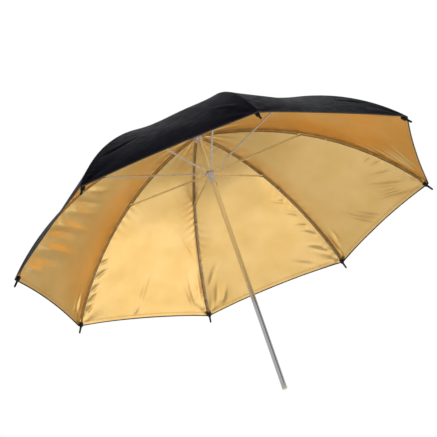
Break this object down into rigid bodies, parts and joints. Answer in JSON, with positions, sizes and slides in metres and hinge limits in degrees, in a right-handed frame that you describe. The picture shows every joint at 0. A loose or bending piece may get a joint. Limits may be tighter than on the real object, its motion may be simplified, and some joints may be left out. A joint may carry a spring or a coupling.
{
  "type": "umbrella reflector",
  "caption": "Folding umbrella reflector for studio light: a round shaft, curved ribs with stretchers on a sliding runner, and a canopy that is gold inside and black outside.",
  "frame": {"origin": "centre of the flat lower end of the shaft's end cap", "axes": "+Z along the shaft towards the crown; +X towards rib 1; the ribs are numbered anticlockwise seen from above"},
  "size_m": [0.726, 0.726, 0.4895],
  "materials": {
    "shaft": "bright chrome plated steel tube",
    "end_cap": "pale translucent push-in plastic cap",
    "white_plastic": "off-white moulded nylon",
    "black_plastic": "black moulded plastic",
    "steel": "plain steel pins, wire and spring",
    "rib": "dark enamelled steel channel",
    "stretcher": "bright rolled steel channel",
    "canopy": "gold metallised satin inside, black woven nylon outside",
    "thread": "white sewing thread"
  },
  "bodies": {
    "shaft": {"shaft_tube": "shaft", "shaft_end_cap": "end_cap", "crown_notch": "white_plastic", "crown_tie_wire": "steel", "crown_pin": "steel", "canopy_washer": "black_plastic", "top_ferrule": "black_plastic", "stop_pin": "steel"},
    "runner": {"runner": "white_plastic"},
    "catch": {"catch_spring": "steel"},
    "rib_1": {"rib_1": "rib", "canopy_section_1": "canopy", "rib_tip_1": "black_plastic", "joint_rivet_1": "steel", "thread_tie_1": "thread"},
    "stretcher_1": {"stretcher_1": "stretcher"},
    "rib_2": {"rib_2": "rib", "canopy_section_2": "canopy", "rib_tip_2": "black_plastic", "joint_rivet_2": "steel", "thread_tie_2": "thread"},
    "stretcher_2": {"stretcher_2": "stretcher"},
    "rib_3": {"rib_3": "rib", "canopy_section_3": "canopy", "rib_tip_3": "black_plastic", "joint_rivet_3": "steel", "thread_tie_3": "thread"},
    "stretcher_3": {"stretcher_3": "stretcher"},
    "rib_4": {"rib_4": "rib", "canopy_section_4": "canopy", "rib_tip_4": "black_plastic", "joint_rivet_4": "steel", "thread_tie_4": "thread"},
    "stretcher_4": {"stretcher_4": "stretcher"},
    "rib_5": {"rib_5": "rib", "canopy_section_5": "canopy", "rib_tip_5": "black_plastic", "joint_rivet_5": "steel", "thread_tie_5": "thread"},
    "stretcher_5": {"stretcher_5": "stretcher"},
    "rib_6": {"rib_6": "rib", "canopy_section_6": "canopy", "rib_tip_6": "black_plastic", "joint_rivet_6": "steel", "thread_tie_6": "thread"},
    "stretcher_6": {"stretcher_6": "stretcher"},
    "rib_7": {"rib_7": "rib", "canopy_section_7": "canopy", "rib_tip_7": "black_plastic", "joint_rivet_7": "steel", "thread_tie_7": "thread"},
    "stretcher_7": {"stretcher_7": "stretcher"},
    "rib_8": {"rib_8": "rib", "canopy_section_8": "canopy", "rib_tip_8": "black_plastic", "joint_rivet_8": "steel", "thread_tie_8": "thread"},
    "stretcher_8": {"stretcher_8": "stretcher"}
  },
  "joints": [
    {"name": "runner_slide", "type": "slide", "parent": "shaft", "child": "runner", "axis": [0, 0, -1], "range_m": [0, 0.25603], "deforming": ["canopy_section_1", "canopy_section_2", "canopy_section_3", "canopy_section_4", "canopy_section_5", "canopy_section_6", "canopy_section_7", "canopy_section_8", "catch_spring"]},
    {"name": "catch_press", "type": "hinge", "parent": "shaft", "child": "catch", "pos_m": [0.0026, 0, 0.35329], "axis": [0, -1, 0], "range_deg": [0, 7], "stiffness_Nm_per_rad": 0.3},
    {"name": "rib_hinge_1", "type": "hinge", "parent": "shaft", "child": "rib_1", "pos_m": [0.0064, 0, 0.47], "axis": [0, 1, 0], "range_deg": [0, 60]},
    {"name": "stretcher_hinge_1", "type": "hinge", "parent": "rib_1", "child": "stretcher_1", "pos_m": [0.1755, 0, 0.43314], "axis": [0, 1, 0], "range_deg": [-120, 0]},
    {"name": "rib_hinge_2", "type": "hinge", "parent": "shaft", "child": "rib_2", "pos_m": [0.00453, 0.00453, 0.47], "axis": [-0.7071, 0.7071, 0], "range_deg": [0, 60]},
    {"name": "stretcher_hinge_2", "type": "hinge", "parent": "rib_2", "child": "stretcher_2", "pos_m": [0.1241, 0.1241, 0.43314], "axis": [-0.7071, 0.7071, 0], "range_deg": [-120, 0]},
    {"name": "rib_hinge_3", "type": "hinge", "parent": "shaft", "child": "rib_3", "pos_m": [0, 0.0064, 0.47], "axis": [-1, 0, 0], "range_deg": [0, 60]},
    {"name": "stretcher_hinge_3", "type": "hinge", "parent": "rib_3", "child": "stretcher_3", "pos_m": [0, 0.1755, 0.43314], "axis": [-1, 0, 0], "range_deg": [-120, 0]},
    {"name": "rib_hinge_4", "type": "hinge", "parent": "shaft", "child": "rib_4", "pos_m": [-0.00453, 0.00453, 0.47], "axis": [-0.7071, -0.7071, 0], "range_deg": [0, 60]},
    {"name": "stretcher_hinge_4", "type": "hinge", "parent": "rib_4", "child": "stretcher_4", "pos_m": [-0.1241, 0.1241, 0.43314], "axis": [-0.7071, -0.7071, 0], "range_deg": [-120, 0]},
    {"name": "rib_hinge_5", "type": "hinge", "parent": "shaft", "child": "rib_5", "pos_m": [-0.0064, 0, 0.47], "axis": [0, -1, 0], "range_deg": [0, 60]},
    {"name": "stretcher_hinge_5", "type": "hinge", "parent": "rib_5", "child": "stretcher_5", "pos_m": [-0.1755, 0, 0.43314], "axis": [0, -1, 0], "range_deg": [-120, 0]},
    {"name": "rib_hinge_6", "type": "hinge", "parent": "shaft", "child": "rib_6", "pos_m": [-0.00453, -0.00453, 0.47], "axis": [0.7071, -0.7071, 0], "range_deg": [0, 60]},
    {"name": "stretcher_hinge_6", "type": "hinge", "parent": "rib_6", "child": "stretcher_6", "pos_m": [-0.1241, -0.1241, 0.43314], "axis": [0.7071, -0.7071, 0], "range_deg": [-120, 0]},
    {"name": "rib_hinge_7", "type": "hinge", "parent": "shaft", "child": "rib_7", "pos_m": [0, -0.0064, 0.47], "axis": [1, 0, 0], "range_deg": [0, 60]},
    {"name": "stretcher_hinge_7", "type": "hinge", "parent": "rib_7", "child": "stretcher_7", "pos_m": [0, -0.1755, 0.43314], "axis": [1, 0, 0], "range_deg": [-120, 0]},
    {"name": "rib_hinge_8", "type": "hinge", "parent": "shaft", "child": "rib_8", "pos_m": [0.00453, -0.00453, 0.47], "axis": [0.7071, 0.7071, 0], "range_deg": [0, 60]},
    {"name": "stretcher_hinge_8", "type": "hinge", "parent": "rib_8", "child": "stretcher_8", "pos_m": [0.1241, -0.1241, 0.43314], "axis": [0.7071, 0.7071, 0], "range_deg": [-120, 0]}
  ],
  "couplings": [
    {"joint": "rib_hinge_1", "follows": "runner_slide", "rad_per_m": 4.0901},
    {"joint": "stretcher_hinge_1", "follows": "runner_slide", "rad_per_m": -8.1803},
    {"joint": "rib_hinge_2", "follows": "runner_slide", "rad_per_m": 4.0901},
    {"joint": "stretcher_hinge_2", "follows": "runner_slide", "rad_per_m": -8.1803},
    {"joint": "rib_hinge_3", "follows": "runner_slide", "rad_per_m": 4.0901},
    {"joint": "stretcher_hinge_3", "follows": "runner_slide", "rad_per_m": -8.1803},
    {"joint": "rib_hinge_4", "follows": "runner_slide", "rad_per_m": 4.0901},
    {"joint": "stretcher_hinge_4", "follows": "runner_slide", "rad_per_m": -8.1803},
    {"joint": "rib_hinge_5", "follows": "runner_slide", "rad_per_m": 4.0901},
    {"joint": "stretcher_hinge_5", "follows": "runner_slide", "rad_per_m": -8.1803},
    {"joint": "rib_hinge_6", "follows": "runner_slide", "rad_per_m": 4.0901},
    {"joint": "stretcher_hinge_6", "follows": "runner_slide", "rad_per_m": -8.1803},
    {"joint": "rib_hinge_7", "follows": "runner_slide", "rad_per_m": 4.0901},
    {"joint": "stretcher_hinge_7", "follows": "runner_slide", "rad_per_m": -8.1803},
    {"joint": "rib_hinge_8", "follows": "runner_slide", "rad_per_m": 4.0901},
    {"joint": "stretcher_hinge_8", "follows": "runner_slide", "rad_per_m": -8.1803}
  ]
}
